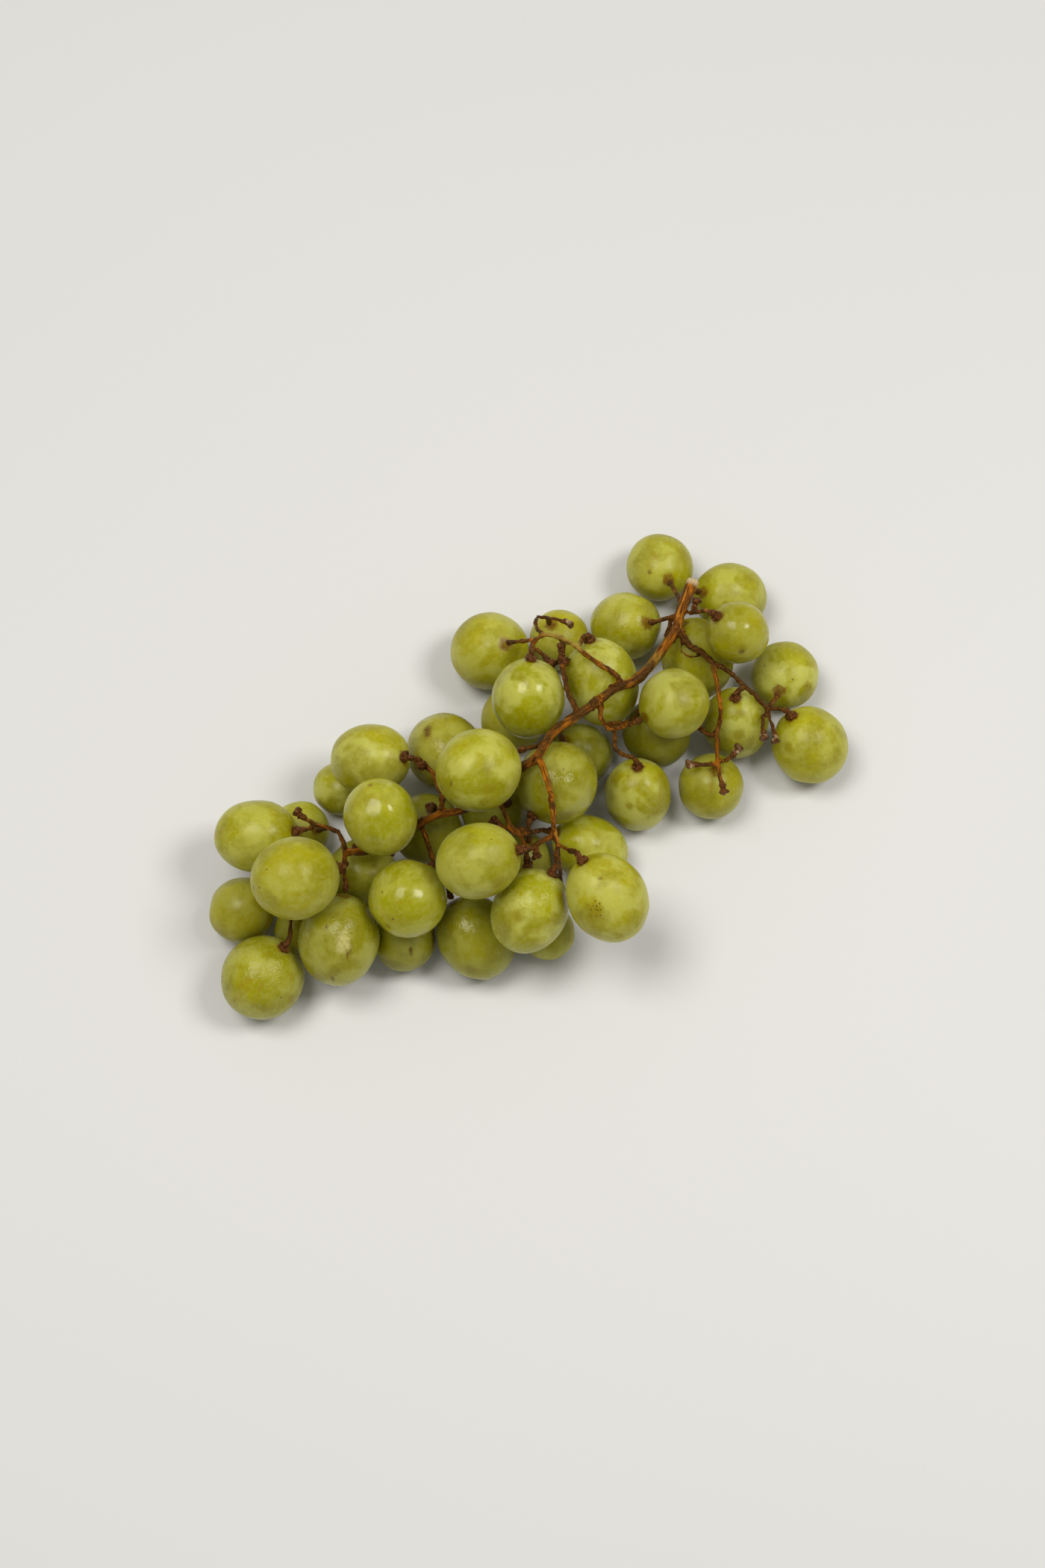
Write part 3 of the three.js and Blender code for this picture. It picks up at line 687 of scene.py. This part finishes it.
def nearness(points, places, radius, soft):
    """1 near any of the places and 0 beyond the radius, for each point."""
    values = np.zeros(len(points))
    for place in places:
        distance = np.linalg.norm(points - place, axis=1)
        values = np.maximum(values, np.clip((radius - distance) / soft, 0, 1))
    return values


def noise_at(places, scale):
    return np.array([noise.noise(Vector(place * scale)) for place in places])


def remeshed_stem(material):
    """A copy of the CAD stem with small even faces and rounded edges."""
    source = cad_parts["stem"]
    obj = bpy.data.objects.new("stem_wood", source.data.copy())
    bpy.context.scene.collection.objects.link(obj)
    remesh = obj.modifiers.new("remesh", "REMESH")
    remesh.mode = "VOXEL"
    remesh.voxel_size = STEM_VOXEL / 1000
    smooth = obj.modifiers.new("smooth", "SMOOTH")
    smooth.iterations = 5
    smooth.factor = 0.5
    bpy.context.view_layer.update()
    evaluated = obj.evaluated_get(bpy.context.evaluated_depsgraph_get())
    mesh = bpy.data.meshes.new_from_object(evaluated)
    obj.modifiers.clear()
    obj.data = mesh
    mesh.materials.clear()
    mesh.materials.append(material)
    mesh.polygons.foreach_set("use_smooth", [True] * len(mesh.polygons))
    return obj


def grain_of(points):
    """For each point: how far the nearest run is, its place in the grain and the run's number."""
    best = np.full(len(points), 1e9)
    grain = np.zeros((len(points), 3))
    run_of = np.zeros(len(points))
    for number, run in enumerate(RUNS.values()):
        way = in_row(run)
        gone = 0.0
        for start, end in zip(way[:-1], way[1:]):
            span = end - start
            length = np.linalg.norm(span)
            share = np.clip((points - start) @ span / length ** 2, 0, 1)
            offset = points - (start + share[:, None] * span)
            distance = np.linalg.norm(offset, axis=1)
            closer = distance < best
            best[closer] = distance[closer]
            grain[closer] = offset[closer]
            along = gone + share[closer] * length
            grain[closer, 2] += along * GRAIN_RUN + number * GRAIN_APART
            run_of[closer] = number
            gone += length
    return best, grain, run_of


def stem(knobs, material):
    """The stem: its relief, in millimetres, and the values that its material reads."""
    obj = remeshed_stem(material)
    mesh = obj.data
    points = np.empty(len(mesh.vertices) * 3)
    mesh.vertices.foreach_get("co", points)
    points = points.reshape(-1, 3) * 1000
    normals = np.array([v.normal for v in mesh.vertices])
    best, grain, run_of = grain_of(points)
    rachis = run_of == 0

    wart = np.maximum(
        nearness(points, [knob["place"] for knob in knobs], *KNOB_WARTS),
        nearness(points, in_row(BARE_ENDS), *END_WARTS),
    )
    cut = nearness(points, in_row([CUT_END]), *CUT_FACE)
    peeled = nearness(points, in_row(PEELED), *PEELED_SPOT)
    pale = nearness(points, in_row(PALE_ENDS), *PALE_TIP)
    rough = noise_at(points, 1.3)
    ridged = noise_at(grain, 1.1)
    slow = noise_at(points, 0.35)
    bumpy = noise_at(points, 0.8) * np.clip(run_of, 0, 1)

    # Runs are made a little thinner, apart from their thick places and the cut end.
    thin = np.where(rachis, 0.36, 0.2) * np.clip((np.where(rachis, 2.6, 1.8) - best) / 0.4, 0, 1)
    from_cut = np.linalg.norm(points - in_row([CUT_END])[0], axis=1)
    thin *= np.clip(from_cut / 4 - 0.5, 0, 1)
    height = 0.14 * ridged + 0.10 * slow + 0.30 * bumpy - thin + wart * (0.55 * rough + 0.30)
    points += normals * height[:, None]
    for knob in knobs:
        distance = np.linalg.norm(points - knob["face"], axis=1)
        drawn = DRAWN * np.clip((DRAWN_REACH - distance) / DRAWN_EDGE, 0, 1)
        points -= knob["axis"] * drawn[:, None]
    mesh.vertices.foreach_set("co", (points / 1000).ravel())
    mesh.update()

    old = np.array([AGES.get(name, OTHER_AGE) for name in RUNS])[run_of.astype(int)]
    age = np.clip(np.where(best > OUTER, OUTER_AGE, old) + 0.9 * slow, 0, 1)
    set_vectors(obj, "grain", grain)
    set_vectors(obj, "place", points)
    set_values(obj, "age", age)
    set_values(obj, "wart", wart * 0.9)
    set_values(obj, "cut", np.maximum(cut, 1.2 * pale * (0.1 + rough)).clip(0, 1))
    set_values(obj, "peeled", (peeled * (0.75 + 0.9 * ridged)).clip(0, 1))
    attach(obj, "root")
    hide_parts("stem")


def add_floor():
    half = FLOOR_HALF
    outline = [(-half, -half, 0), (half, -half, 0), (half, half, 0), (-half, half, 0)]
    floor = mesh_object("floor", outline, [(0, 1, 2, 3)], floor_material())


add_camera()
add_lights()
add_floor()
skin = skin_material()
knobs = []
berries = [read_berry(n) for n in sorted(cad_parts) if n.startswith("grape_")]
for index, (_, middle, axis, half, _) in enumerate(berries):
    berry(index, berries, skin)
    face = middle + axis * (half + BERRY_GAP)
    knobs.append({"face": face, "place": face + axis * WARTS_OUT, "axis": axis})
stem(knobs, stem_material())
